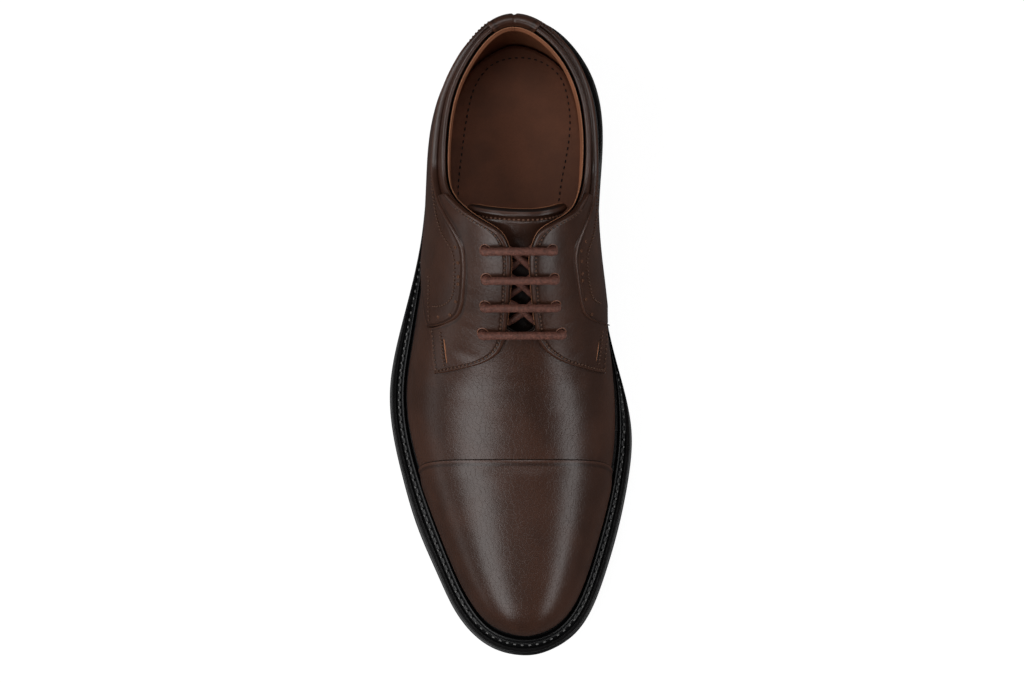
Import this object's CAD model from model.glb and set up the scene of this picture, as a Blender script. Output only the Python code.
import math

import bmesh
import bpy
import numpy as np
from mathutils import Matrix, Vector


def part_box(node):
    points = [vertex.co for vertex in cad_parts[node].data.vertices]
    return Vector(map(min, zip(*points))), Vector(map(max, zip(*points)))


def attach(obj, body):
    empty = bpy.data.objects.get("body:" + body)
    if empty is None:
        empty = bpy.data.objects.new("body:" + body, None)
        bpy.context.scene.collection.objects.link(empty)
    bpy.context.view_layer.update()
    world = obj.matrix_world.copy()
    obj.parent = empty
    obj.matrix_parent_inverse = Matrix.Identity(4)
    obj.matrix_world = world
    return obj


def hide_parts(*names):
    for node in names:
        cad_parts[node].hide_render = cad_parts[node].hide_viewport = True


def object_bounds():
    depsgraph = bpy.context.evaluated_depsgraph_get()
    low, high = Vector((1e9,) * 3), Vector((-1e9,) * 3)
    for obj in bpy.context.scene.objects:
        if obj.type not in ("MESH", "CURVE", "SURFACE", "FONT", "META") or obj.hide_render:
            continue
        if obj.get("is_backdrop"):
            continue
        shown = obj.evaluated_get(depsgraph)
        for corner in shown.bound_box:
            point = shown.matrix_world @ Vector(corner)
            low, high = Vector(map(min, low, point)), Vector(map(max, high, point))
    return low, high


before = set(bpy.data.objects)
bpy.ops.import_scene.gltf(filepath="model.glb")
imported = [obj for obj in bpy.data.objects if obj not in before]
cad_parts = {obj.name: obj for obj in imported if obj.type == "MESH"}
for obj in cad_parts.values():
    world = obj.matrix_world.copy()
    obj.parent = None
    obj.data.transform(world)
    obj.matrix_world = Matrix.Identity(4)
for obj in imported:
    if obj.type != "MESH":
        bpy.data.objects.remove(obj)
CAD_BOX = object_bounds()

bl_info = {
    "name": "Cap-toe derby shoe",
    "version": (1, 0, 0),
    "blender": (4, 5, 0),
    "location": "View3D > Sidebar > Derby",
    "description": "Dresses a derby shoe in leather, thread, cord and rubber",
    "category": "Add Mesh",
}

# Lengths are in millimetres until a mesh is made
MM = 0.001
MERGE = 2e-6
SOLE_LENGTH = (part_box("outsole")[1].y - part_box("outsole")[0].y) / MM
SOLE_WIDTH = 115.0
HEEL_MARGIN = 2.8
TOE_MARGIN = 11.6
LAST_WIDTH = 99.0
CONE_HEIGHT = 76.0
LAST_LENGTH = SOLE_LENGTH - HEEL_MARGIN - TOE_MARGIN

# Heights of the sole, from the floor up
HEEL_RISE = 18.0
TOE_SPRING = 10.0
TOP_PIECE = 6.0
OUTSOLE = 4.4
MIDSOLE = 4.0
WELT = 3.2
INSOLE_PROUD = 3.5
GAP = 0.3
SEAT = 0.5
STACK = OUTSOLE + MIDSOLE + WELT + GAP + 2 * SEAT

# Leather and what goes through it
WALL = 2.4
COLLAR_ROLL = 1.5
LIFT = 0.5
FACING_LEATHER = 1.4
QUARTER_LEATHER = 1.6
CAP_LEATHER = 1.2
TONGUE_PAD = 2.6
TAB_LEATHER = 1.5
LACE_RADIUS = 1.8
EYELET_RADIUS = 2.3
LACE_OVER = LIFT + FACING_LEATHER + LIFT + LACE_RADIUS
LACE_UNDER = WALL + LIFT + LACE_RADIUS
TONGUE_DROP = LACE_UNDER + LACE_RADIUS + LIFT
FOOT_OF_LEATHER = LIFT + QUARTER_LEATHER + 1.4 * SEAT

# Shape of the last
TUCK = 0.05
WAIST_TUCK = 0.06
TUCK_RISE = 0.22
LEAN_TOP = 7.6
LEAN_FOOT = 7.0
HEEL_SHIFT = 1.9
LEAN_MIDDLE = 0.25
LEAN_SPAN = 0.5
LEAN_FADE = 0.3
HEEL_BREAST = 0.27
FLAT_FROM = 0.6
FLAT_TO = 0.7
NUDGE = 1e-3

# Places along the last, and shares of the turn up its side
COLLAR_BACK = 0.26
THROAT_FROM = 0.507
THROAT_TO = 0.527
ROLL_BAND = 0.085
ROLL_FULL = 0.02
ROLL_FADE_FROM = 0.25
ROLL_FADE_TO = 0.345
CAP_EDGE = 0.718
CAP_SWEEP = 0.028
TURN_STEPS = 9
TURN_SPREAD = 1.15


def table(names, rows):
    """One array for each named column."""
    return dict(zip(names.split(), np.array(rows, float).T))


# Sections of the last: widths are shares of LAST_WIDTH, heights of CONE_HEIGHT
LAST = table("at lateral medial ridge height lateral_square medial_square", [
    (0.00, 0.025, 0.025, 0.025, 1.05, 2.50, 2.50),
    (0.02, -0.113, 0.172, 0.025, 1.05, 2.44, 2.60),
    (0.07, -0.230, 0.292, 0.025, 1.04, 2.32, 2.90),
    (0.14, -0.327, 0.368, 0.027, 1.02, 2.20, 3.15),
    (0.24, -0.373, 0.394, 0.031, 0.98, 2.10, 3.15),
    (0.34, -0.392, 0.403, 0.045, 0.93, 2.10, 2.50),
    (0.44, -0.430, 0.437, 0.057, 0.845, 2.10, 2.20),
    (0.53, -0.475, 0.475, 0.061, 0.72, 2.10, 2.10),
    (0.60, -0.503, 0.496, 0.063, 0.626, 2.12, 2.12),
    (0.68, -0.483, 0.499, 0.065, 0.542, 2.16, 2.16),
    (0.76, -0.416, 0.468, 0.066, 0.484, 2.22, 2.22),
    (0.84, -0.328, 0.410, 0.068, 0.434, 2.30, 2.30),
    (0.91, -0.242, 0.345, 0.069, 0.386, 2.36, 2.36),
    (0.96, -0.157, 0.276, 0.070, 0.330, 2.40, 2.40),
    (0.99, -0.060, 0.184, 0.071, 0.250, 2.40, 2.40),
    (1.00, 0.071, 0.071, 0.071, 0.13, 2.40, 2.40),
])

# Outline of the sole: sides are shares of SOLE_WIDTH
SOLE = table("at lateral medial", [
    (0.00, 0.034, 0.034), (0.02, -0.112, 0.187), (0.05, -0.190, 0.266), (0.09, -0.255, 0.330),
    (0.14, -0.308, 0.368), (0.20, -0.333, 0.377), (0.27, -0.345, 0.366), (0.34, -0.364, 0.360),
    (0.42, -0.409, 0.375), (0.50, -0.466, 0.409), (0.58, -0.503, 0.464), (0.65, -0.492, 0.497),
    (0.72, -0.452, 0.485), (0.80, -0.389, 0.443), (0.87, -0.310, 0.390), (0.93, -0.233, 0.329),
    (0.97, -0.148, 0.252), (0.99, -0.068, 0.170), (1.00, 0.061, 0.061),
])

# Rim of the collar and throat: shares of the turn from the sole's edge (0) to the ridge (1)
RIM = table("at lateral medial", [
    (0.00, 0.449, 0.449), (0.02, 0.449, 0.436), (0.05, 0.442, 0.409), (0.10, 0.425, 0.373),
    (0.16, 0.416, 0.351), (0.22, 0.416, 0.350), (0.26, 0.430, 0.372), (0.285, 0.462, 0.405),
    (0.305, 0.528, 0.458), (0.322, 0.618, 0.525), (0.336, 0.705, 0.628), (0.348, 0.790, 0.750),
    (0.360, 0.872, 0.848), (0.376, 0.922, 0.900), (0.400, 0.946, 0.931), (0.430, 0.942, 0.932),
    (0.460, 0.935, 0.925), (0.490, 0.924, 0.913), (0.513, 0.915, 0.903),
])

# Facings: the throat and lower edge, paired with the seam where the quarter laps over
PANEL_COLUMNS = "edge_at edge_up seam_at seam_up"
FACING = {
    -1: table(PANEL_COLUMNS, [
        (0.300, 0.508, 0.300, 0.405), (0.322, 0.616, 0.322, 0.468), (0.336, 0.703, 0.340, 0.535),
        (0.348, 0.788, 0.356, 0.588), (0.360, 0.870, 0.370, 0.620), (0.376, 0.920, 0.388, 0.645),
        (0.400, 0.944, 0.408, 0.660), (0.430, 0.940, 0.432, 0.665), (0.460, 0.933, 0.458, 0.660),
        (0.490, 0.922, 0.480, 0.645), (0.515, 0.914, 0.494, 0.600), (0.532, 0.902, 0.503, 0.505),
        (0.539, 0.890, 0.505, 0.450), (0.546, 0.875, 0.507, 0.428), (0.557, 0.823, 0.519, 0.442),
        (0.566, 0.735, 0.536, 0.460), (0.573, 0.620, 0.556, 0.481), (0.576, 0.560, 0.568, 0.495),
        (0.577, 0.506, 0.577, 0.506),
    ]),
    1: table(PANEL_COLUMNS, [
        (0.300, 0.438, 0.300, 0.255), (0.322, 0.523, 0.322, 0.310), (0.336, 0.626, 0.340, 0.365),
        (0.348, 0.748, 0.356, 0.425), (0.360, 0.846, 0.370, 0.475), (0.376, 0.898, 0.386, 0.520),
        (0.400, 0.929, 0.404, 0.542), (0.430, 0.930, 0.428, 0.540), (0.460, 0.923, 0.454, 0.532),
        (0.490, 0.911, 0.474, 0.520), (0.513, 0.900, 0.488, 0.475), (0.521, 0.894, 0.491, 0.430),
        (0.528, 0.884, 0.494, 0.370), (0.534, 0.869, 0.496, 0.310), (0.540, 0.850, 0.498, 0.250),
        (0.551, 0.790, 0.512, 0.245), (0.561, 0.700, 0.530, 0.274), (0.567, 0.600, 0.545, 0.303),
        (0.572, 0.500, 0.558, 0.324), (0.575, 0.400, 0.568, 0.336), (0.576, 0.345, 0.576, 0.345),
    ]),
}

# Quarters: the collar seam and lapped front edge, paired with the lower edge
QUARTER = {
    -1: table(PANEL_COLUMNS, [
        (0.0002, 0.335, 0.0002, 0.0), (0.003, 0.335, 0.003, 0.0), (0.009, 0.335, 0.009, 0.0),
        (0.020, 0.334, 0.020, 0.0), (0.050, 0.328, 0.050, 0.0), (0.100, 0.314, 0.100, 0.0),
        (0.160, 0.305, 0.160, 0.0), (0.220, 0.305, 0.215, 0.0), (0.260, 0.320, 0.255, 0.0),
        (0.300, 0.400, 0.290, 0.0), (0.322, 0.468, 0.315, 0.0), (0.340, 0.535, 0.335, 0.0),
        (0.356, 0.590, 0.352, 0.0), (0.370, 0.632, 0.366, 0.0), (0.386, 0.665, 0.376, 0.050),
        (0.408, 0.678, 0.392, 0.115), (0.432, 0.681, 0.410, 0.170), (0.458, 0.676, 0.430, 0.220),
        (0.480, 0.658, 0.450, 0.268), (0.493, 0.606, 0.470, 0.314), (0.500, 0.515, 0.488, 0.355),
        (0.503, 0.400, 0.503, 0.400),
    ]),
    1: table(PANEL_COLUMNS, [
        (0.0002, 0.335, 0.0002, 0.0), (0.003, 0.333, 0.003, 0.0), (0.009, 0.329, 0.009, 0.0),
        (0.020, 0.321, 0.020, 0.0), (0.050, 0.292, 0.050, 0.0), (0.100, 0.254, 0.100, 0.0),
        (0.160, 0.230, 0.160, 0.0), (0.220, 0.222, 0.217, 0.0), (0.260, 0.232, 0.258, 0.0),
        (0.300, 0.300, 0.296, 0.0), (0.322, 0.370, 0.320, 0.0), (0.340, 0.440, 0.340, 0.0),
        (0.356, 0.500, 0.358, 0.0), (0.370, 0.547, 0.374, 0.0), (0.385, 0.585, 0.390, 0.0),
        (0.404, 0.599, 0.406, 0.0), (0.428, 0.590, 0.424, 0.0), (0.453, 0.578, 0.440, 0.020),
        (0.474, 0.560, 0.456, 0.075), (0.488, 0.515, 0.470, 0.125), (0.496, 0.400, 0.483, 0.170),
        (0.500, 0.245, 0.498, 0.215),
    ]),
}

# Eyelets of each row, from the vamp up to the collar
EYELETS = {
    -1: table("at up", [(0.514, 0.800), (0.472, 0.810), (0.431, 0.816), (0.388, 0.809)]),
    1: table("at up", [(0.514, 0.742), (0.472, 0.774), (0.431, 0.779), (0.388, 0.787)]),
}

# Tongue: stations from its free top to its hidden root, with its edges and how deep it lies
TONGUE = table("at lateral medial drop", [
    (0.318, 0.560, 0.475, 1.00), (0.345, 0.600, 0.520, 1.00), (0.385, 0.660, 0.590, 1.00),
    (0.430, 0.690, 0.620, 1.00), (0.475, 0.700, 0.630, 1.00), (0.515, 0.720, 0.650, 1.00),
    (0.545, 0.750, 0.690, 0.70), (0.575, 0.790, 0.740, 0.43), (0.600, 0.830, 0.790, 0.42),
])

# Top of the welt, from its outer edge to the foot of the upper: shares of the margin and of WELT
WELT_RINGS = table("inward rise", [
    (0.000, 0.00), (0.000, 0.42), (0.015, 0.60), (0.045, 0.66), (0.120, 0.67), (0.138, 0.72),
    (0.158, 0.84), (0.180, 0.86), (0.205, 0.80), (0.350, 0.79), (0.378, 0.75), (0.398, 0.56),
    (0.415, 0.42), (0.640, 0.42), (0.660, 0.56), (0.685, 0.96), (0.725, 1.20), (0.780, 1.32),
    (0.830, 1.32), (0.870, 1.20), (0.905, 0.96), (0.930, 0.80), (1.000, 0.74),
])
STITCH_CHANNEL = 0.535
CHANNEL_FLOOR = 0.42

# Stitch lines and pinholes on the quarters, as places along the last and turns up its side
QUARTER_STITCHES = {
    -1: table("at up", [
        (0.012, 0.313), (0.05, 0.306), (0.10, 0.292), (0.16, 0.281), (0.22, 0.279), (0.26, 0.292),
        (0.30, 0.345), (0.337, 0.412), (0.361, 0.480), (0.379, 0.550), (0.393, 0.585),
        (0.418, 0.603), (0.444, 0.603), (0.460, 0.585), (0.470, 0.520), (0.471, 0.430),
    ]),
    1: table("at up", [
        (0.012, 0.308), (0.05, 0.270), (0.10, 0.232), (0.16, 0.205), (0.22, 0.190), (0.26, 0.185),
        (0.30, 0.195), (0.323, 0.225), (0.346, 0.285), (0.369, 0.362), (0.385, 0.428),
        (0.403, 0.458), (0.426, 0.460), (0.448, 0.445), (0.461, 0.405), (0.466, 0.320),
    ]),
}
PINHOLES = {
    -1: table("at up", [
        (0.382, 0.599), (0.406, 0.624), (0.427, 0.631), (0.438, 0.632), (0.465, 0.621),
        (0.485, 0.586), (0.488, 0.495),
    ]),
    1: table("at up", [
        (0.372, 0.456), (0.387, 0.519), (0.403, 0.520), (0.422, 0.521), (0.433, 0.526),
        (0.461, 0.508), (0.484, 0.455),
    ]),
}
TAB_STITCHES = {
    -1: table("at up", [(0.421, 0.353), (0.444, 0.373), (0.472, 0.394), (0.496, 0.418)]),
}
TAB_SLITS = {
    -1: table("at up", [(0.522, 0.546), (0.531, 0.556), (0.547, 0.571), (0.562, 0.584)]),
    1: table("at up", [(0.522, 0.380), (0.533, 0.401), (0.547, 0.425), (0.560, 0.444)]),
}
TAB_INNER_STITCHES = {
    -1: table("at up", [(0.510, 0.520), (0.525, 0.536), (0.542, 0.552), (0.567, 0.575)]),
    1: table("at up", [(0.508, 0.340), (0.522, 0.362), (0.541, 0.396), (0.565, 0.434)]),
}

# Row of stitches round the sock, in plan
SOCK_STITCHES = table("x y", [
    (-24.6, 56.0), (-24.3, 70.6), (-23.1, 82.7), (-21.2, 97.2), (-18.2, 112.2), (-13.8, 121.6),
    (-6.5, 128.1), (4.2, 130.2), (13.8, 128.5), (21.4, 123.4), (25.7, 115.4), (27.9, 101.0),
    (26.6, 86.3), (24.5, 75.3), (22.7, 63.1), (22.2, 56.0),
])

# Soft creases and swells of the leather: place, half lengths along and up, slant, and height
CREASES = table("at girth along up slant height", [
    (0.600, 0.10, 0.013, 0.30, 0.00, -0.34), (0.622, -0.16, 0.011, 0.26, 0.02, 0.22),
    (0.640, 0.18, 0.012, 0.24, -0.02, -0.26), (0.662, -0.05, 0.013, 0.30, 0.01, 0.14),
    (0.588, -0.42, 0.012, 0.12, -0.05, -0.30), (0.590, 0.46, 0.012, 0.12, 0.05, -0.26),
    (0.545, -0.30, 0.008, 0.09, 0.10, -0.20), (0.552, -0.38, 0.008, 0.09, 0.10, 0.16),
    (0.542, 0.40, 0.008, 0.08, -0.10, -0.18), (0.505, -0.30, 0.006, 0.06, 0.06, -0.16),
    (0.497, 0.34, 0.006, 0.06, -0.06, -0.16), (0.455, -0.29, 0.006, 0.06, 0.03, -0.14),
    (0.455, 0.36, 0.006, 0.06, -0.03, -0.14), (0.412, -0.30, 0.006, 0.06, 0.00, -0.14),
    (0.412, 0.35, 0.006, 0.06, 0.00, -0.12), (0.330, -0.55, 0.012, 0.05, -0.08, -0.30),
    (0.330, 0.66, 0.012, 0.05, 0.08, -0.30), (0.200, -0.90, 0.070, 0.10, 0.00, 0.35),
    (0.200, 0.90, 0.070, 0.08, 0.00, 0.30), (0.440, -0.82, 0.030, 0.09, 0.05, -0.35),
    (0.480, 0.86, 0.030, 0.08, -0.05, -0.35),
])


def ease(place, start, end):
    """Smooth step: 3 t^2 - 2 t^3, with t running from 0 at start to 1 at end."""
    t = np.clip((place - start) / (end - start), 0, 1)
    return t * t * (3 - 2 * t)


def natural_spline(knots, values):
    """Natural cubic spline. Between two knots it is a line plus (M0 left^3 + M1 right^3) / 6h, where the
    second slopes M solve h0 M0 + 2 (h0 + h1) M1 + h1 M2 = 6 (slope1 - slope0) and are 0 at both ends."""
    knots = np.asarray(knots, float)
    values = np.asarray(values, float)
    trail = values.shape[1:]
    flat = values.reshape(len(knots), -1)
    step = np.diff(knots)
    inner = np.arange(1, len(knots) - 1)
    system = np.eye(len(knots))
    system[inner, inner - 1] = step[:-1]
    system[inner, inner] = 2 * (step[:-1] + step[1:])
    system[inner, inner + 1] = step[1:]
    right = np.zeros_like(flat)
    right[inner] = 6 * np.diff(np.diff(flat, axis=0) / step[:, None], axis=0)
    bend = np.linalg.solve(system, right)

    def read(place):
        place = np.asarray(place, float)
        k = np.searchsorted(knots[1:-1], place)
        h = step[k][..., None]
        left = (knots[k + 1] - place)[..., None]
        past = (place - knots[k])[..., None]
        curve = (bend[k] * left**3 + bend[k + 1] * past**3) / (6 * h)
        line = (flat[k] / h - bend[k] * h / 6) * left + (flat[k + 1] / h - bend[k + 1] * h / 6) * past
        return (curve + line).reshape(place.shape + trail)

    return read


def turn_of(at):
    """The turn at which (1 - cos turn) / 2 is the place, so stations close up towards both ends."""
    return np.arccos(1 - 2 * np.clip(at, 0, 1))


def share_of(turn):
    """The place along the length at a turn: (1 - cos turn) / 2."""
    return (1 - np.cos(turn)) / 2


SIDE_NAMES = {-1: "lateral", 1: "medial"}
LAST_TURNS = turn_of(LAST["at"])
LAST_SIDE = {s: natural_spline(LAST_TURNS, LAST[n] * LAST_WIDTH) for s, n in SIDE_NAMES.items()}
LAST_SQUARE = {s: natural_spline(LAST_TURNS, LAST[n + "_square"]) for s, n in SIDE_NAMES.items()}
LAST_RIDGE = natural_spline(LAST_TURNS, LAST["ridge"] * LAST_WIDTH)
LAST_HEIGHT = natural_spline(LAST_TURNS, LAST["height"] * CONE_HEIGHT)
SOLE_TURNS = turn_of(SOLE["at"])
SOLE_SIDE = {s: natural_spline(SOLE_TURNS, SOLE[n] * SOLE_WIDTH) for s, n in SIDE_NAMES.items()}
RIM_UP = {s: natural_spline(RIM["at"], RIM[n]) for s, n in SIDE_NAMES.items()}


def underside(y):
    """Height of the outsole's underside: level under the heel, eased down through the waist, flat at the
    ball, then rising with the square of the way to the toe."""
    at = (SOLE_LENGTH / 2 - y) / SOLE_LENGTH
    spring = np.maximum((at - FLAT_TO) / (1 - FLAT_TO), 0)
    return HEEL_RISE * (1 - ease(at, HEEL_BREAST, FLAT_FROM)) + TOE_SPRING * spring**2


def last_point(turn, girth):
    """A point of the last. Each section is two quarters of a superellipse, x = reach cos^(2/n) and
    z = height sin^(2/n), tucked in at the sole; the back leans with the square of the height."""
    medial = girth > 0
    square = 2 / np.where(medial, LAST_SQUARE[1](turn), LAST_SQUARE[-1](turn))
    angle = (1 - np.minimum(np.abs(girth), 1)) * math.pi / 2
    out = np.maximum(np.cos(angle), 0) ** square
    up = np.sin(angle) ** square
    ridge = LAST_RIDGE(turn)
    reach = np.where(medial, LAST_SIDE[1](turn), LAST_SIDE[-1](turn)) - ridge
    at = share_of(turn)
    waist = np.where(medial, WAIST_TUCK * ease(at, 0.24, 0.42) * (1 - ease(at, 0.46, FLAT_FROM)), 0)
    tuck = 1 - (TUCK + waist) * np.maximum(1 - up / TUCK_RISE, 0) ** 2
    y = SOLE_LENGTH / 2 - HEEL_MARGIN - at * LAST_LENGTH
    z = underside(y) + STACK + up * LAST_HEIGHT(turn)
    rise = (z - HEEL_RISE - STACK - LEAN_MIDDLE * CONE_HEIGHT) / (LEAN_SPAN * CONE_HEIGHT)
    lean = np.where(rise > 0, LEAN_TOP, LEAN_FOOT) * rise**2 + HEEL_SHIFT
    lean = lean * np.maximum(1 - at / LEAN_FADE, 0) ** 2
    return np.stack([ridge + reach * out * tuck, y - lean, z], -1)


def skin_frame(at, girth):
    """Point and unit normal of the last: the cross product of its slopes along and across, never
    pointing down, level at the sole's edge and straight along Y at both ends."""
    at, girth = np.broadcast_arrays(np.asarray(at, float), np.asarray(girth, float))
    turn = turn_of(at)
    near = np.clip(turn, 4 * NUDGE, math.pi - 4 * NUDGE)
    along = last_point(near + NUDGE, girth) - last_point(near - NUDGE, girth)
    across = last_point(near, np.minimum(girth + NUDGE, 1)) - last_point(near, np.maximum(girth - NUDGE, -1))
    normal = np.cross(along, across)
    level = np.abs(girth) > 1 - 1e-9
    normal[..., 2] = np.where(level, 0, np.maximum(normal[..., 2], 0))
    end = (np.sin(turn) < 1e-6)[..., None]
    normal = np.where(end, np.stack([0 * turn, np.cos(turn), 0 * turn], -1), normal)
    normal /= np.linalg.norm(normal, axis=-1, keepdims=True)
    return last_point(turn, girth), normal


def skin(at, girth, offset):
    """The last's surface moved out by an offset along its own normal."""
    point, normal = skin_frame(at, girth)
    return point + normal * np.asarray(offset, float)[..., None]


def girth_of(side, up):
    """Place across the last: 0 at the ridge, the side's sign at the sole's edge."""
    return side * (1 - up)


def row_up(rim, share):
    """Turns up the wall, closer together towards the foot: rim (1 - (1 - share)^1.15)."""
    return rim * (1 - (1 - share) ** TURN_SPREAD)


def roll_fade(at):
    """The collar's padding ends where the facings start."""
    return 1 - ease(at, ROLL_FADE_FROM, ROLL_FADE_TO)


def rim_of(at, side):
    """Rim of the wall, closing over the vamp in a short curve at the end of the throat."""
    open_rim = RIM_UP[side](np.minimum(at, RIM["at"][-1]))
    return open_rim + (1 - open_rim) * ease(at, THROAT_FROM, THROAT_TO)


def roll(at, side, up):
    """The collar's padded roll: an eased step up to COLLAR_ROLL just under the rim."""
    rim = RIM_UP[side](np.minimum(at, RIM["at"][-1]))
    return COLLAR_ROLL * ease(up, rim - ROLL_BAND, rim - ROLL_FULL) * roll_fade(at)


def creases(at, girth, share=1.0):
    """Sum of slanted bell curves, height exp(-(a/along)^2 - (g/up)^2)."""
    total = np.zeros(np.broadcast(at, girth).shape)
    for k in range(len(CREASES["at"])):
        row = {name: column[k] for name, column in CREASES.items()}
        g = girth - row["girth"]
        a = at - row["at"] - row["slant"] * g
        total += row["height"] * np.exp(-((a / row["along"]) ** 2) - (g / row["up"]) ** 2)
    return total * share


def unit(vectors):
    """Vectors of length 1."""
    return vectors / np.maximum(np.linalg.norm(vectors, axis=-1, keepdims=True), 1e-9)


def rounded_edge(top, before, low, count=6, bulge=0.5, window=0.0):
    """Half-round strip between two edges: middle + half cos(phi) + outward bulge sin(phi). The window
    flattens it towards the strip's two ends, so that strips meet at a corner."""
    phi = np.linspace(0, math.pi, count + 1)[None, :, None]
    half = (top - low) / 2
    outward = unit(top - before)
    height = np.linalg.norm(half, axis=-1, keepdims=True) * 2 * bulge
    if window:
        place = np.linspace(0, 1, len(top))[:, None]
        height = height * ease(np.minimum(place, 1 - place), 0, window)
    middle = (top + low) / 2
    return middle[:, None] + half[:, None] * np.cos(phi) + (outward * height)[:, None] * np.sin(phi)


def run_length(points, axis):
    """Length along a grid from its first row or column, by adding up the steps."""
    steps = np.linalg.norm(np.diff(points, axis=axis), axis=-1)
    start = np.zeros_like(np.take(steps, [0], axis=axis))
    return np.concatenate([start, np.cumsum(steps, axis=axis)], axis=axis)


def grid_faces(rows, columns, start):
    """Four corners of each cell of a grid."""
    corner = start + np.arange(rows * columns).reshape(rows, columns)
    cells = [corner[:-1, :-1], corner[1:, :-1], corner[1:, 1:], corner[:-1, 1:]]
    return np.stack(cells, -1).reshape(-1, 4)


def make_piece(name, patches, materials, nodes=(), crisp=50):
    """Joins grids of points into one mesh in metres. A patch is (points, finish number, seam map), the
    seam map holding the length along and the distance from the nearest edge, in metres."""
    points, faces, finish, seams = [], [], [], []
    start = 0
    for grid, number, seam in patches:
        rows, columns = grid.shape[:2]
        points.append(grid.reshape(-1, 3) * MM)
        cells = grid_faces(rows, columns, start)
        faces.append(cells)
        finish.append(np.full(len(cells), number))
        blank = np.stack([np.zeros((rows, columns)), np.full((rows, columns), 30.0)], -1)
        seams.append((blank if seam is None else seam).reshape(-1, 2) * MM)
        start += rows * columns
    points = np.concatenate(points)
    faces = np.concatenate(faces)
    mesh = bpy.data.meshes.new(name)
    mesh.from_pydata(points.tolist(), [], faces.tolist())
    mesh.polygons.foreach_set("material_index", np.concatenate(finish).astype(np.int32))
    layer = mesh.uv_layers.new(name="seam")
    layer.data.foreach_set("uv", np.concatenate(seams)[faces.reshape(-1)].astype(np.float32).ravel())
    work = bmesh.new()
    work.from_mesh(mesh)
    bmesh.ops.remove_doubles(work, verts=work.verts, dist=MERGE)
    bmesh.ops.dissolve_degenerate(work, edges=work.edges, dist=MERGE / 4)
    bmesh.ops.recalc_face_normals(work, faces=work.faces)
    work.to_mesh(mesh)
    work.free()
    mesh.polygons.foreach_set("use_smooth", np.ones(len(mesh.polygons), bool))
    mesh.set_sharp_from_angle(angle=math.radians(crisp))
    for material in materials:
        mesh.materials.append(material)
    piece = bpy.data.objects.new(name, mesh)
    bpy.context.scene.collection.objects.link(piece)
    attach(piece, "root")
    if nodes:
        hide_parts(*nodes)
    return piece


def closed_sheet(outer, inner, seam, finishes=(0, 0, 0), bulge=0.45):
    """Patches of a sheet of leather: two grids and four rounded edges. The finishes are those of the
    face, of the back and of the cut edges."""
    face, back, cut = finishes
    strips = [
        rounded_edge(outer[:, -1], outer[:, -2], inner[:, -1], bulge=bulge, window=0.03),
        rounded_edge(outer[:, 0], outer[:, 1], inner[:, 0], bulge=bulge, window=0.03),
        rounded_edge(outer[0], outer[1], inner[0], bulge=bulge, window=0.1),
        rounded_edge(outer[-1], outer[-2], inner[-1], bulge=bulge, window=0.1),
    ]
    return [(outer, face, seam), (inner, back, None), *((strip, cut, None) for strip in strips)]


def cut_holes(piece, posts):
    """Cuts round posts, each a middle, a direction, a radius and a length, out of a closed piece."""
    cutters = []
    for middle, direction, radius, length in posts:
        bpy.ops.mesh.primitive_cylinder_add(vertices=32, radius=radius * MM, depth=length * MM)
        cutter = bpy.context.object
        cutter.rotation_euler = Vector(direction).to_track_quat("Z", "Y").to_euler()
        cutter.location = Vector(middle) * MM
        cutters.append(cutter)
    bpy.ops.object.select_all(action="DESELECT")
    for cutter in cutters:
        cutter.select_set(True)
    bpy.context.view_layer.objects.active = cutters[0]
    bpy.ops.object.join()
    tool = bpy.context.object
    cut = piece.modifiers.new("eyelets", "BOOLEAN")
    cut.operation = "DIFFERENCE"
    cut.solver = "EXACT"
    cut.object = tool
    bpy.context.view_layer.update()
    result = bpy.data.meshes.new_from_object(piece.evaluated_get(bpy.context.evaluated_depsgraph_get()))
    piece.modifiers.clear()
    old = piece.data
    piece.data = result
    result.name = piece.name
    bpy.data.meshes.remove(old)
    bpy.data.objects.remove(tool)


class Wire:
    """A shader value whose operators add Math nodes, so that shader maths reads as Python."""

    def __init__(self, finish, socket):
        self.finish = finish
        self.socket = socket

    def math(self, operation, *values, clamp=False):
        settings = {"operation": operation, "use_clamp": clamp}
        links = dict(enumerate(values))
        return self.finish.node("ShaderNodeMath", settings, links)

    def __add__(self, other):
        return self.math("ADD", self, other)

    def __sub__(self, other):
        return self.math("SUBTRACT", self, other)

    def __mul__(self, other):
        return self.math("MULTIPLY", self, other)

    def __truediv__(self, other):
        return self.math("DIVIDE", self, other)

    def __radd__(self, other):
        return self.math("ADD", other, self)

    def __rsub__(self, other):
        return self.math("SUBTRACT", other, self)

    def __rmul__(self, other):
        return self.math("MULTIPLY", other, self)

    def step(self, low, high):
        """Smooth step from 0 at low to 1 at high."""
        settings = {"interpolation_type": "SMOOTHSTEP"}
        links = {"Value": self, "From Min": low, "From Max": high}
        return self.finish.node("ShaderNodeMapRange", settings, links)


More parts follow.
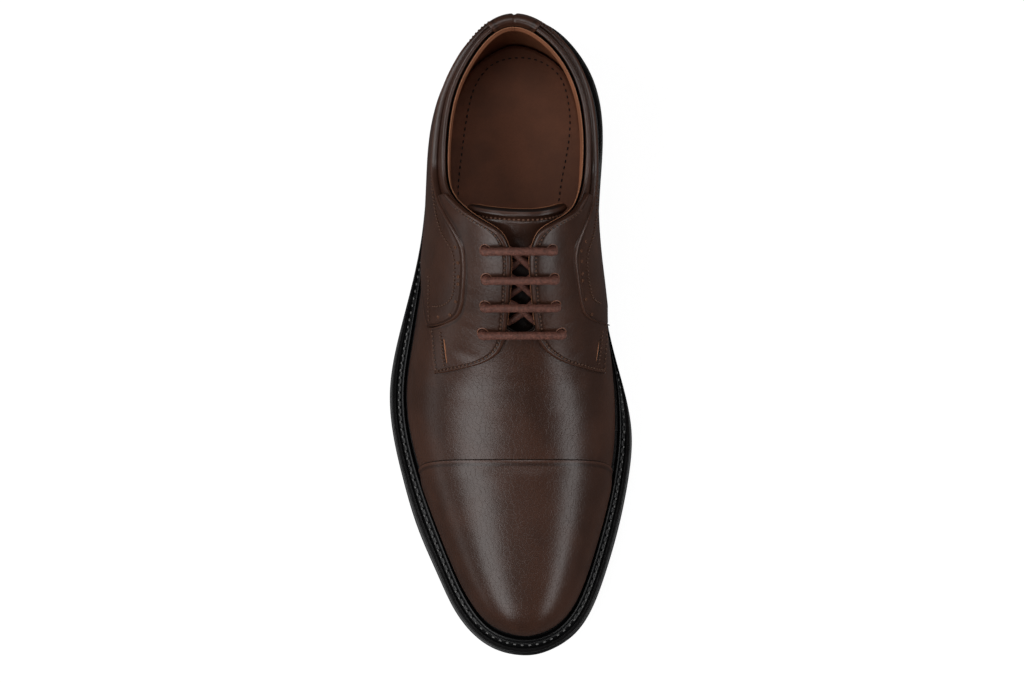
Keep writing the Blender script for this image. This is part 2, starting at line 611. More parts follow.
class Finish:
    """A material. Numbers that are the same all over go straight on the shader's own sockets."""

    def __init__(self, name, **constants):
        self.material = bpy.data.materials.new(name)
        self.material.use_nodes = True
        self.tree = self.material.node_tree
        self.shader = self.tree.nodes["Principled BSDF"]
        for label, value in constants.items():
            self.shader.inputs[label.replace("_", " ")].default_value = value
        self.place = self.node("ShaderNodeTexCoord", {}, {}, "Object")

    def node(self, kind, settings=None, links=None, output=0):
        """Any node: its settings first, then the values or links of its sockets; gives one output."""
        node = self.tree.nodes.new(kind)
        for label, value in (settings or {}).items():
            setattr(node, label, value)
        for label, value in (links or {}).items():
            if isinstance(value, Wire):
                self.tree.links.new(value.socket, node.inputs[label])
            else:
                node.inputs[label].default_value = value
        return Wire(self, node.outputs[output])

    def noise(self, size, detail=3.0, rough=0.55, place=None, twist=0.0):
        """Noise with features of about a size in millimetres."""
        links = {"Vector": place or self.place, "Scale": 1 / (size * MM), "Detail": detail,
                 "Roughness": rough, "Distortion": twist}
        return self.node("ShaderNodeTexNoise", {}, links)

    def cells(self, size, feature="DISTANCE_TO_EDGE", place=None):
        """Cells of about a size in millimetres."""
        links = {"Vector": place or self.place, "Scale": 1 / (size * MM)}
        return self.node("ShaderNodeTexVoronoi", {"feature": feature}, links)

    def warped(self, size, reach):
        """The object's own place, pushed about by noise of a size and reach in millimetres."""
        links = {"Vector": self.place, "Scale": 1 / (size * MM), "Detail": 2.0}
        push = self.node("ShaderNodeTexNoise", {}, links, "Color")
        middle = self.node("ShaderNodeVectorMath", {"operation": "SUBTRACT"}, {0: push, 1: (0.5, 0.5, 0.5)})
        scaled = self.node("ShaderNodeVectorMath", {"operation": "SCALE"}, {0: middle, "Scale": reach * MM})
        return self.node("ShaderNodeVectorMath", {"operation": "ADD"}, {0: self.place, 1: scaled})

    def seam(self):
        """Length along a piece and distance from its edge, in metres, from its own map."""
        place = self.node("ShaderNodeUVMap", {"uv_map": "seam"})
        parts = self.tree.nodes.new("ShaderNodeSeparateXYZ")
        self.tree.links.new(place.socket, parts.inputs[0])
        return Wire(self, parts.outputs[0]), Wire(self, parts.outputs[1])

    def mix(self, share, first, second, mode="MIX"):
        """Two colours mixed by a share."""
        node = self.tree.nodes.new("ShaderNodeMix")
        node.data_type = "RGBA"
        node.blend_type = mode
        sockets = (node.inputs["Factor"], node.inputs[6], node.inputs[7])
        for socket, value in zip(sockets, (share, first, second)):
            if isinstance(value, Wire):
                self.tree.links.new(value.socket, socket)
            else:
                socket.default_value = value
        return Wire(self, node.outputs[2])

    def bump(self, height, depth, before=None):
        """A bump whose full height is a depth in millimetres."""
        links = {"Height": height, "Distance": depth * MM, "Strength": 1.0}
        if before:
            links["Normal"] = before
        return self.node("ShaderNodeBump", {}, links)

    def feed(self, label, wire):
        self.tree.links.new(wire.socket, self.shader.inputs[label])


def tone(colour, factor, warm=0.0):
    """A colour made lighter or darker, and a little warmer."""
    red, green, blue = colour[0], colour[1], colour[2]
    return (red * factor * (1 + warm), green * factor, blue * factor * (1 - warm), 1.0)


def leather(name, colour, gloss, grain, seams=True, shade_from=0.0):
    """Smooth polished leather: soft mottling, a fine net of curled creases, pores, worn lighter edges.
    With shade_from, in metres, it grows darker beyond that distance from the edge."""
    made = Finish(name, Coat_Roughness=0.30, Coat_IOR=1.45, Specular_IOR_Level=0.42)
    cloud = made.noise(34, 3.0, 0.55)
    patch = made.noise(9, 4.0, 0.6)
    base = made.mix(cloud.step(0.36, 0.66), tone(colour, 0.80), tone(colour, 1.16, 0.04))
    base = made.mix(patch.step(0.52, 0.80) * 0.35, base, tone(colour, 1.45, 0.06))
    curled = made.warped(4.6, 3.4)
    net = made.cells(2.3, place=curled)
    crease = 1 - net.step(0.0, 0.10)
    fine = made.cells(0.75, place=made.warped(1.6, 0.8))
    base = made.mix(crease * 0.26, base, tone(colour, 0.68))
    if seams:
        edge = made.seam()[1]
        worn = 1 - edge.step(0.0002, 0.0011)
        shade = edge.step(0.0010, 0.0016) * (1 - edge.step(0.0022, 0.0031))
        base = made.mix(shade * 0.60, base, tone(colour, 0.35))
        base = made.mix(worn * 0.38, base, tone(colour, 2.0, 0.06))
        if shade_from:
            base = made.mix(edge.step(shade_from, shade_from * 1.9), base, tone(colour, 0.16))
    made.feed("Base Color", base)
    rough = gloss + 0.10 * cloud + 0.07 * patch + 0.03 * crease
    made.feed("Roughness", rough)
    made.feed("Coat Weight", 0.30 - 0.12 * patch)
    pores = made.noise(0.33, 2.0, 0.6)
    first = made.bump((1 - crease) + 0.08 * fine.step(0.0, 0.3), 0.026 * grain)
    second = made.bump(pores, 0.006 * grain, first)
    third = made.bump(made.noise(7.0, 3.0, 0.5), 0.12 * grain, second)
    made.feed("Normal", third)
    return made.material


def lining_leather(name, colour, mottled):
    """Matt vegetable-tanned lining: soft darker pools and a fine nap."""
    made = Finish(name, Specular_IOR_Level=0.16)
    cloud = made.noise(26, 4.0, 0.6)
    base = made.mix(cloud.step(0.35, 0.70) * mottled, tone(colour, 0.78), tone(colour, 1.25, 0.05))
    specks = made.noise(0.8, 3.0, 0.7).step(0.35, 0.75)
    made.feed("Base Color", made.mix(specks * 0.3, base, tone(colour, 0.6)))
    made.feed("Roughness", 0.56 + 0.14 * cloud)
    nap = made.bump(made.noise(0.35, 3.0, 0.65), 0.05)
    made.feed("Normal", made.bump(made.noise(6.0, 2.0, 0.5), 0.12, nap))
    return made.material


def cut_edge(name, colour):
    """The raw cut edge of tan leather: fibres across it and darker specks."""
    made = Finish(name, Specular_IOR_Level=0.3)
    fibre = made.noise(0.5, 3.0, 0.7)
    made.feed("Base Color", made.mix(fibre.step(0.35, 0.75), tone(colour, 0.62), tone(colour, 1.18)))
    made.feed("Roughness", 0.55 + 0.2 * fibre)
    made.feed("Normal", made.bump(fibre, 0.08))
    return made.material


def rubber(name, colour, gloss):
    """Moulded rubber: an even satin black with a very fine texture and a little dust in it."""
    made = Finish(name, Specular_IOR_Level=0.36)
    dust = made.noise(7, 4.0, 0.65)
    made.feed("Base Color", made.mix(dust.step(0.45, 0.85) * 0.5, tone(colour, 0.85), tone(colour, 1.9)))
    made.feed("Roughness", gloss + 0.14 * dust)
    grain = made.bump(made.noise(0.28, 2.0, 0.6), 0.03)
    made.feed("Normal", made.bump(made.noise(2.4, 3.0, 0.55), 0.05, grain))
    return made.material


def waxed_cord(name, colour):
    """Round waxed cord: strands wound round it, seen in bump and in tone, with rubbed lighter patches."""
    made = Finish(name, Coat_Roughness=0.4, Specular_IOR_Level=0.26)
    along, around = made.seam()
    lean = along * 4200.0
    wind = around * 2000.0
    strand = lean.math("SINE", lean + wind)
    cross = lean.math("SINE", lean - wind)
    weave = strand * cross * 0.5 + 0.5
    patch = made.noise(1.2, 4.0, 0.65)
    base = made.mix(patch.step(0.36, 0.70), tone(colour, 0.72), tone(colour, 1.40, 0.03))
    made.feed("Base Color", made.mix(weave * 0.25, base, tone(colour, 0.55)))
    made.feed("Roughness", 0.50 + 0.16 * patch)
    made.feed("Coat Weight", 0.10 * patch)
    rubbed = made.bump(made.noise(0.8, 4.0, 0.6), 0.08)
    made.feed("Normal", made.bump(weave, 0.10, rubbed))
    return made.material


def thread(name, colour, gloss):
    """Twisted sewing thread."""
    made = Finish(name, Specular_IOR_Level=0.4)
    twist = made.noise(0.3, 2.0, 0.6)
    made.feed("Base Color", made.mix(twist.step(0.3, 0.7), tone(colour, 0.7), tone(colour, 1.3)))
    made.feed("Roughness", gloss + 0.15 * twist)
    made.feed("Normal", made.bump(twist, 0.04))
    return made.material


class DerbySizes(bpy.types.PropertyGroup):
    """Sizes of the details that are sewn and punched into the shoe."""

    stitch_pitch: bpy.props.FloatProperty(name="Stitch pitch", default=0.0021, unit="LENGTH",
                                          description="Distance between the stitches of the upper")
    stitch_gauge: bpy.props.FloatProperty(name="Thread gauge", default=0.00048, unit="LENGTH",
                                          description="Thickness of the upper's thread")
    welt_pitch: bpy.props.FloatProperty(name="Welt stitch pitch", default=0.0035, unit="LENGTH",
                                        description="Distance between the stitches in the welt's channel")
    pinhole: bpy.props.FloatProperty(name="Pinhole", default=0.0014, unit="LENGTH",
                                     description="Diameter of the punched dots along the quarters")
    crease: bpy.props.FloatProperty(name="Crease depth", default=1.0, min=0, max=3, subtype="FACTOR",
                                    description="How deep the soft creases of the leather are")
    grain: bpy.props.FloatProperty(name="Grain", default=1.0, min=0, max=3, subtype="FACTOR",
                                   description="How strong the grain of the leather is")


def colour_property(label, words, default):
    """A colour that a user may change."""
    return bpy.props.FloatVectorProperty(name=label, description=words, default=default, subtype="COLOR",
                                         size=3, min=0, max=1)


class DerbyColours(bpy.types.PropertyGroup):
    """Colours of the shoe's materials."""

    upper: colour_property("Upper", "Polished brown leather of the upper", (0.0410, 0.0168, 0.0100))
    lining: colour_property("Lining", "Brown leather of the lining", (0.250, 0.100, 0.052))
    insole: colour_property("Insole", "Brown leather of the sock", (0.178, 0.074, 0.043))
    edge: colour_property("Cut edge", "Tan cut edges of the leather", (0.36, 0.150, 0.075))
    rubber: colour_property("Rubber", "Black rubber of the sole", (0.0042, 0.0044, 0.0048))
    cord: colour_property("Laces", "Waxed reddish brown laces", (0.118, 0.047, 0.034))
    thread: colour_property("Thread", "Dark thread of the upper", (0.078, 0.035, 0.020))
    welt_thread: colour_property("Welt thread", "Grey thread of the welt", (0.14, 0.14, 0.137))


def around_stations(stations, make):
    """A grid carried from the heel down the lateral side to the toe and back up the medial side."""
    lateral = make(stations, -1)
    medial = make(stations, 1)
    return np.concatenate([lateral, medial[::-1]])


def wall_grid(stations, rows, offset, rim_shift=0.0):
    """Rows of the wall from the sole's edge to its rim; offset is a function of place, side and turn up."""
    share = np.linspace(0, 1, rows)[None, :]

    def make(places, side):
        at = places[:, None]
        rim = rim_of(at, side)
        rim = rim + rim_shift * (1 + 1.6 * ease(at, 0.37, 0.40)) * (1 - ease(at, THROAT_FROM, THROAT_TO))
        up = row_up(rim, share)
        return skin(at, girth_of(side, up), offset(at, side, up, rim))

    return around_stations(stations, make)


def material(name):
    """A finish made once and shared."""
    return bpy.data.materials[name]


class SHOE_OT_finishes(bpy.types.Operator):
    """Makes the leathers, rubber, cord and threads."""

    bl_idname = "shoe.finishes"
    bl_label = "Finishes"

    def execute(self, context):
        colours = context.scene.derby_colours
        grain = context.scene.derby_sizes.grain
        leather("upper leather", colours.upper, GLOSS, grain)
        lining_leather("lining leather", colours.lining, 0.8)
        lining_leather("insole leather", colours.insole, 0.6)
        cut_edge("cut edge", colours.edge)
        cut_edge("folded edge", [0.25 * c for c in colours.upper])
        leather("tongue leather", colours.upper, GLOSS, grain, True, 0.017)
        cut_edge("pinhole", [0.45 * c for c in colours.edge])
        leather("worn leather", [4.0 * c for c in colours.upper], GLOSS, grain, False)
        thread("thread on tongue", [1.6 * c for c in colours.thread], 0.5)
        rubber("sole rubber", colours.rubber, 0.34)
        rubber("welt rubber", colours.rubber, 0.22)
        waxed_cord("waxed cord", colours.cord)
        thread("dark thread", colours.thread, 0.5)
        thread("welt thread", colours.welt_thread, 0.25)
        return {"FINISHED"}


GLOSS = 0.235
WALL_STATIONS = share_of(np.concatenate([
    np.linspace(0, turn_of(THROAT_FROM), 150),
    np.linspace(turn_of(THROAT_FROM), turn_of(THROAT_TO + 0.002), 12)[1:],
    np.linspace(turn_of(THROAT_TO + 0.002), math.pi, 110)[1:],
]))
WALL_ROWS = 56

# Depths under the last's surface of the leather's back, and of the lining's two faces at the rim
SHELL = 0.55
LINING_OUT = 1.62
LINING_EDGE = 2.12
LINING_PROUD = 0.003

# Thickness of the stiffener inside the heel, and where the rim's tan edge ends
HEEL_COUNTER = 5.0
TAN_TO = 0.503


def heel_pad(at):
    """The stiffener inside the heel ends before the waist."""
    return 1 - ease(at, -0.02, 0.08)


def outer_offset(crease):
    """Offset of the upper's face: the padded roll with a piping line in it, and the creases."""

    def offset(at, side, up, rim):
        girth = girth_of(side, up)
        line = rim - 0.052
        piping = -0.42 * np.exp(-(((up - line) / 0.0075) ** 2)) * roll_fade(at)
        return roll(at, side, up) + piping + creases(at, girth, crease)

    return offset


class SHOE_OT_upper(bpy.types.Operator):
    """Makes the upper: a leather wall with a padded collar roll, and the lining inside it."""

    bl_idname = "shoe.upper"
    bl_label = "Upper and lining"

    def execute(self, context):
        crease = context.scene.derby_sizes.crease
        face = outer_offset(crease)
        outer = wall_grid(WALL_STATIONS, WALL_ROWS, face)
        inner = wall_grid(WALL_STATIONS, WALL_ROWS, lambda at, side, up, rim: 0 * up * at - SHELL)
        patches = self.shell(outer, inner, 0, 0, 0, 0.42)
        upper = make_piece("upper_leather", patches, [material("upper leather")], ["upper"])

        def lining_inner(at, side, up, rim):
            swell = ease(up, rim - ROLL_BAND, rim - 0.035) - ease(up, rim - 0.028, rim - 0.004)
            fade = 1 - ease(at, THROAT_FROM, THROAT_TO)
            step_in = (LINING_EDGE - WALL) * ease(up, rim - 0.02, rim) * fade
            counter = HEEL_COUNTER * heel_pad(at) * np.maximum(1 - up / rim, 0)
            return -WALL - COLLAR_ROLL * 0.9 * swell * roll_fade(at) - step_in - counter

        def lining_outer(at, side, up, rim):
            return 0 * up * at - LINING_OUT

        outside = wall_grid(WALL_STATIONS, WALL_ROWS, lining_outer, LINING_PROUD)
        inside = wall_grid(WALL_STATIONS, WALL_ROWS, lining_inner, LINING_PROUD)
        patches = self.shell(outside, inside, 0, 0, 1, 0.5)
        patches[0] = (outside, 2, patches[0][2])
        finishes = [material("lining leather"), material("cut edge"), material("folded edge")]
        lining = make_piece("lining", patches, finishes)
        cut_holes(upper, eyelet_posts(LACE_UNDER + 2, LACE_OVER + 1))
        cut_holes(lining, eyelet_posts(LACE_UNDER + 2, LACE_OVER + 1))
        return {"FINISHED"}

    def shell(self, outer, inner, face, back, cut, bulge):
        """Two grids with the foot closed by a flat strip, and the rim by a half-round one that runs
        only as far as the throat's closed end."""
        half = len(outer) // 2
        rim_open = np.linalg.norm(outer[:half, -1] - outer[half:, -1][::-1], axis=-1) > 1e-3
        last_open = int(np.nonzero(rim_open)[0].max()) + 2
        keep = np.r_[0:last_open, len(outer) - last_open:len(outer)]
        crown = rounded_edge(outer[keep, -1], outer[keep, -2], inner[keep, -1], 8, bulge)
        closed = np.array([last_open - 1, last_open])
        flat = np.linspace(0, 1, 9)[None, :, None]
        straight = outer[keep][closed, -1][:, None] * (1 - flat) + inner[keep][closed, -1][:, None] * flat
        crown[closed] = straight
        foot = np.stack([outer[:, 0], inner[:, 0]], 1)
        edge = run_length(outer, 1)
        seam = np.stack([edge, edge[:, -1:] - edge + 3.0], -1)
        tan = int((WALL_STATIONS < TAN_TO).sum())
        ends = [(crown[:tan + 1], cut, None), (crown[tan:-tan], face + (cut > 0) * 2, None),
                (crown[-tan - 1:], cut, None)]
        return [(outer, face, seam), (inner, back, None), *ends, (foot, back, None)]


def eyelet_posts(depth, height):
    """Posts along the skin's normal at each eyelet."""
    posts = []
    for side, rows in EYELETS.items():
        low = skin(rows["at"], girth_of(side, rows["up"]), np.full(4, -float(depth)))
        high = skin(rows["at"], girth_of(side, rows["up"]), np.full(4, float(height)))
        for a, b in zip(low, high):
            posts.append(((a + b) / 2, b - a, EYELET_RADIUS, float(np.linalg.norm(b - a))))
    return posts


def panel_places(rows, count, across, spread=1.0):
    """Places along and turns up of a panel: its two edges are splines over the row number, joined by
    straight lines. Columns close up towards the front edge."""
    order = np.arange(len(rows["edge_at"]))
    places = np.linspace(0, order[-1], count)
    read = {name: natural_spline(order, column)(places)[:, None] for name, column in rows.items()}
    v = 1 - (1 - np.linspace(0, 1, across)[None, :]) ** spread
    at = read["seam_at"] * (1 - v) + read["edge_at"] * v
    up = np.maximum(read["seam_up"] * (1 - v) + read["edge_up"] * v, 0)
    return at, up


def panel_grids(at, up, side, height, crease, underneath=0.08):
    """Face and back of a panel on the wall, the face's height being a function of the distance from
    its front edge."""
    girth = girth_of(side, up)
    base = skin(at, girth, roll(at, side, up) + LIFT)
    length = run_length(base, 1)
    from_edge = length[:, -1:] - length
    lift = roll(at, side, up) + creases(at, girth, crease)
    outer = skin(at, girth, lift + LIFT + height(from_edge))
    inner = skin(at, girth, lift + underneath)
    seam = np.stack([run_length(base, 0), np.minimum(from_edge, length)], -1)
    return outer, inner, seam


def facing_height(from_edge):
    """Leather of even thickness, with a rounded bead at the edge and a trough under the stitches."""
    bead = 0.28 * np.exp(-(((from_edge - 0.8) / 0.6) ** 2))
    trough = -0.26 * np.exp(-(((from_edge - 1.9) / 0.5) ** 2))
    return FACING_LEATHER + bead + trough


def quarter_height(from_edge, heavy):
    """Leather with a folded bead at its edge and a soft trough behind it. The bead is at its heaviest
    where heavy is 1, and sinks into the leather where it is 0."""
    bead = (1.45 * heavy - 0.5) * np.exp(-(((from_edge - 0.9) / 1.05) ** 2))
    trough = -0.22 * np.exp(-(((from_edge - 3.4) / 1.0) ** 2))
    return QUARTER_LEATHER - 0.1 + bead + trough


class SHOE_OT_facings(bpy.types.Operator):
    """Makes the two facings, with their punched eyelets."""

    bl_idname = "shoe.facings"
    bl_label = "Facings"

    def execute(self, context):
        crease = context.scene.derby_sizes.crease
        finishes = [material("upper leather"), material("cut edge")]
        for side, rows in FACING.items():
            at, up = panel_places(rows, 260, 64, 1.4)
            outer, inner, seam = panel_grids(at, up, side, facing_height, crease)
            patches = closed_sheet(outer, inner, seam, (0, 0, 0), 0.42)
            name = "facing_" + SIDE_NAMES[side]
            piece = make_piece(name + "_leather", patches, finishes, [name])
            posts = [post for post in eyelet_posts(1, LACE_OVER + 1)]
            cut_holes(piece, posts[:4] if side < 0 else posts[4:])
        return {"FINISHED"}


class SHOE_OT_quarters(bpy.types.Operator):
    """Makes the two quarters with their folded front edges."""

    bl_idname = "shoe.quarters"
    bl_label = "Quarters"

    def execute(self, context):
        crease = context.scene.derby_sizes.crease
        for side, rows in QUARTER.items():
            at, up = panel_places(rows, 330, 56, 1.7)
            heavy = ease(at, 0.005, 0.07)
            name = "quarter_" + SIDE_NAMES[side]

            def height(from_edge, heavy=heavy):
                return quarter_height(from_edge, heavy)

            outer, inner, seam = panel_grids(at, up, side, height, crease)
            patches = closed_sheet(outer, inner, seam, (0, 0, 0), 0.5)
            make_piece(name + "_leather", patches, [material("upper leather")], [name])
        return {"FINISHED"}


class SHOE_OT_toe_cap(bpy.types.Operator):
    """Makes the toe cap, its edge skived thin and folded over the vamp."""

    bl_idname = "shoe.toe_cap"
    bl_label = "Toe cap"

    def execute(self, context):
        crease = context.scene.derby_sizes.crease
        half = 1 - row_up(1.0, np.linspace(0, 1, 60))
        girth = np.concatenate([-half, half[::-1][1:]])[:, None]
        edge = turn_of(CAP_EDGE + CAP_SWEEP * girth**4)
        share = np.linspace(0, 1, 90)[None, :] ** 1.25
        at = share_of(edge + (math.pi - edge) * share)
        base = skin(at, girth + 0 * at, np.full(at.shape, LIFT))
        length = run_length(base, 1)
        bead = 0.22 * np.exp(-(((length - 0.8) / 0.6) ** 2))
        thick = 0.75 + (CAP_LEATHER + LIFT - 0.75) * ease(length, 0, 9) + bead
        lift = creases(at, girth, crease)
        outer = skin(at, girth + 0 * at, lift + thick)
        inner = skin(at, girth + 0 * at, lift + 0.06)
        seam = np.stack([run_length(base, 0), length], -1)
        flat = np.linspace(0, 1, 7)[None, :, None]
        fold = rounded_edge(outer[:, 0], outer[:, 1], inner[:, 0], 6, 0.45, 0.03)
        sides = [outer[k][:, None] * (1 - flat) + inner[k][:, None] * flat for k in (0, -1)]
        patches = [(outer, 0, seam), (inner, 0, None), (fold, 1, None), *((s, 0, None) for s in sides)]
        finishes = [material("upper leather"), material("folded edge")]
        make_piece("toe_cap_leather", patches, finishes, ["toe_cap"])
        return {"FINISHED"}


# Places along the last: how far the tongue's top moves and dips, and its stitches below it
TONGUE_SHIFT = 0.001
TONGUE_DIP = 0.020
TONGUE_ROW = 0.0135
TONGUE_ROW_DIP = 0.0192


class SHOE_OT_tongue(bpy.types.Operator):
    """Makes the padded tongue with its rolled top edge."""

    bl_idname = "shoe.tongue"
    bl_label = "Tongue"

    def execute(self, context):
        order = np.arange(len(TONGUE["at"]))
        places = np.linspace(0, order[-1], 150)
        read = {name: natural_spline(order, column)(places)[:, None] for name, column in TONGUE.items()}
        across = np.linspace(-1, 1, 90)[None, :]
        low = girth_of(-1, read["lateral"])
        high = girth_of(1, read["medial"])
        girth = low + (high - low) * (across + 1) / 2
        dip = TONGUE_DIP * (1 - across**2) * (1 - ease(places[:, None], 0, 2.0))
        at = read["at"] + TONGUE_SHIFT + dip
        depth = -TONGUE_DROP * read["drop"] + 0 * girth
        base = skin(at, girth, depth)
        from_top = run_length(base, 0)
        bead = 1.0 * np.exp(-(((from_top - 1.6) / 1.3) ** 2))
        trough = -0.40 * np.exp(-(((from_top - 4.2) / 0.8) ** 2))
        folds = 0.18 * np.sin(across * 3.1 + 0.6) * np.exp(-(((from_top - 17) / 7) ** 2))
        edge = np.minimum(1 - np.abs(across), 0.2) / 0.2
        thin = -TONGUE_PAD * (1 - 0.55 * (1 - edge))
        outer = skin(at, girth, depth + bead + trough + folds)
        inner = skin(at, girth, depth + thin)
        seam = np.stack([run_length(base, 1), from_top], -1)
        top = rounded_edge(outer[0], outer[1], inner[0], 8, 0.5, 0.03)
        patches = closed_sheet(outer, inner, seam, (0, 1, 0), 0.45)
        patches[4] = (top[:, :4], 0, None)
        patches += [(top[:, 3:6], 2, None), (top[:, 5:], 1, None)]
        finishes = [material("tongue leather"), material("lining leather"), material("cut edge")]
        make_piece("tongue_leather", patches, finishes, ["tongue"])
        return {"FINISHED"}


class SHOE_OT_heel_tab(bpy.types.Operator):
    """Makes the saddle of leather over the back of the collar."""

    bl_idname = "shoe.heel_tab"
    bl_label = "Heel tab"

    def execute(self, context):
        reach = 2 * float(turn_of(COLLAR_BACK)) / TURN_STEPS
        signed = np.linspace(-1, 1, 72)
        at = share_of(np.abs(signed) * reach)
        rim = np.where(signed > 0, RIM_UP[1](at), RIM_UP[-1](at))
        side = np.where(signed > 0, 1, -1)

        def ring(depth):
            top, low, foot = (row_up(rim, k / TURN_STEPS) for k in (9, 8, 7))

            def at_up(up, offset, rise):
                point = skin(at, girth_of(side, up), offset)
                point[:, 2] += rise
                return point

            out_low = LIFT + COLLAR_ROLL * ease(low, rim - ROLL_BAND, rim - ROLL_FULL) + depth
            out_foot = LIFT + COLLAR_ROLL * ease(foot, rim - ROLL_BAND, rim - ROLL_FULL) + depth
            out_top = LIFT + COLLAR_ROLL + 0 * at + depth
            return np.stack([
                at_up(foot, out_foot, 0),
                at_up(low, out_low, 0),
                at_up(top, out_top, 0.2 + 0.4 * depth),
                at_up(rim, 0.25 + 0 * at, 1.1 + depth),
                at_up(rim, -0.95 - 0.3 * depth + 0 * at, 0.2 * depth),
            ])

        sample = np.linspace(0, 4, 56)
        order = np.arange(5)
        outer = natural_spline(order, ring(TAB_LEATHER))(sample).transpose(1, 0, 2)
        inner = natural_spline(order, ring(0.1))(sample).transpose(1, 0, 2)
        length = run_length(outer, 0)
        ends = np.minimum(length, length[-1:] - length)
        seam = np.stack([run_length(outer, 1), ends], -1)
        groove = np.exp(-(((length - length[-1:] / 2) / 0.5) ** 2))[..., None]
        outer = outer + (inner - outer) * 0.18 * groove
        patches = closed_sheet(outer, inner, seam, (0, 0, 0), 0.4)
        make_piece("heel_tab_leather", patches, [material("upper leather")], ["heel_tab"])
        return {"FINISHED"}


def sole_edge(turn, side, inward):
    """Edge of the sole, moved inwards by a share of the margin that shows round the upper."""
    y = SOLE_LENGTH / 2 - share_of(turn) * SOLE_LENGTH
    edge = np.stack([SOLE_SIDE[side](turn), y, 0 * y], -1)
    foot = skin(share_of(turn), np.full(turn.shape, float(side)), np.full(turn.shape, FOOT_OF_LEATHER))
    foot[..., 2] = 0
    return edge + (foot - edge) * inward


def loft(turns, rings, height, across=24):
    """A solid from rings of the sole's edge: height is a function of y and the ring's own rise. The
    two caps are ruled between the lateral and the medial side."""
    def loop(inward, rise, side):
        points = sole_edge(turns, side, inward)
        points[:, 2] = height(points[:, 1], rise)
        return points

    lateral = np.stack([loop(inward, rise, -1) for inward, rise in rings], 1)
    medial = np.stack([loop(inward, rise, 1) for inward, rise in rings], 1)
    share = np.linspace(0, 1, across)[None, :, None]
    caps = [lateral[:, k][:, None] * (1 - share) + medial[:, k][:, None] * share for k in (0, -1)]
    breast = lateral[-1][:, None] * (1 - share) + medial[-1][:, None] * share
    return [(lateral, 0, None), (medial, 0, None), *((cap, 0, None) for cap in caps), (breast, 0, None)]


class SHOE_OT_sole(bpy.types.Operator):
    """Makes the outsole, midsole, heel block, top piece and the ribbed welt."""

    bl_idname = "shoe.sole"
    bl_label = "Sole"

    def execute(self, context):
        rubbers = [material("sole rubber")]
        turns = np.linspace(0, math.pi, 190)
        rings = [(0.2, 0), (0.12, 0.25), (0.05, 0.8), (0.012, 1.3), (0, 2.0), (0, OUTSOLE - 0.5),
                 (0.03, OUTSOLE)]
        above = lambda y, rise: underside(y) + rise
        make_piece("outsole_rubber", loft(turns, rings, above), rubbers, ["outsole"])
        low = OUTSOLE + GAP * 0.3
        rings = [(0.03, 0), (0.05, 0.1), (0.09, 0.16), (0.09, 0.84), (0.05, 0.9), (0.03, 1.1)]
        above = lambda y, rise: underside(y) + low + rise * MIDSOLE
        make_piece("midsole_rubber", loft(turns, rings, above), rubbers, ["midsole"])
        heel = np.linspace(0, float(turn_of(HEEL_BREAST)), 70)
        base = TOP_PIECE + 0.15
        rings = [(0.03, 0), (0.06, 0.03), (0.10, 0.25), (0.12, 0.5), (0.10, 0.8), (0.05, 1)]
        above = lambda y, rise: base + rise * (underside(y) - 0.15 - base)
        make_piece("heel_block_rubber", loft(heel, rings, above), rubbers, ["heel_block"])
        short = np.linspace(0, float(turn_of(HEEL_BREAST - 0.006)), 70)
        rings = [(0.12, 0), (0.05, 0.25), (0.0, 0.9), (0, TOP_PIECE - 0.5), (0.03, TOP_PIECE)]
        above = lambda y, rise: 0 * y + rise
        make_piece("top_piece_rubber", loft(short, rings, above), rubbers, ["top_piece"])
        self.welt()
        return {"FINISHED"}

    def welt(self):
        """Rings over the top of the welt, down inside the upper's wall and back under it."""
        low = OUTSOLE + MIDSOLE + GAP + SEAT
        turns = np.linspace(0, math.pi, 240)
        halves = []
        for side in (-1, 1):
            foot = sole_edge(turns, side, 1.0)
            margin = np.linalg.norm(foot - sole_edge(turns, side, 0.0), axis=-1)
            relief = np.clip((margin - 3) / 4, 0, 1)
            columns = []
            for inward, rise in zip(WELT_RINGS["inward"], WELT_RINGS["rise"]):
                height = 1 + (rise - 1) * (relief if inward > 0.03 else 1.0)
                point = sole_edge(turns, side, inward)
                point[:, 2] = underside(point[:, 1]) + low + height * WELT
                columns.append(point)
            wall = skin(share_of(turns), np.full(turns.shape, float(side)), np.full(turns.shape, -WALL))
            for rise in (0.9 * WELT, 0.0):
                point = wall.copy()
                point[:, 2] = underside(point[:, 1]) + low + rise
                columns.append(point)
            columns.append(columns[0])
            halves.append(np.stack(columns, 1))
        around = np.concatenate([halves[0], halves[1][::-1]])
        finishes = [material("welt rubber")]
        make_piece("welt_rubber", [(around, 0, None)], finishes, ["welt"], crisp=75)


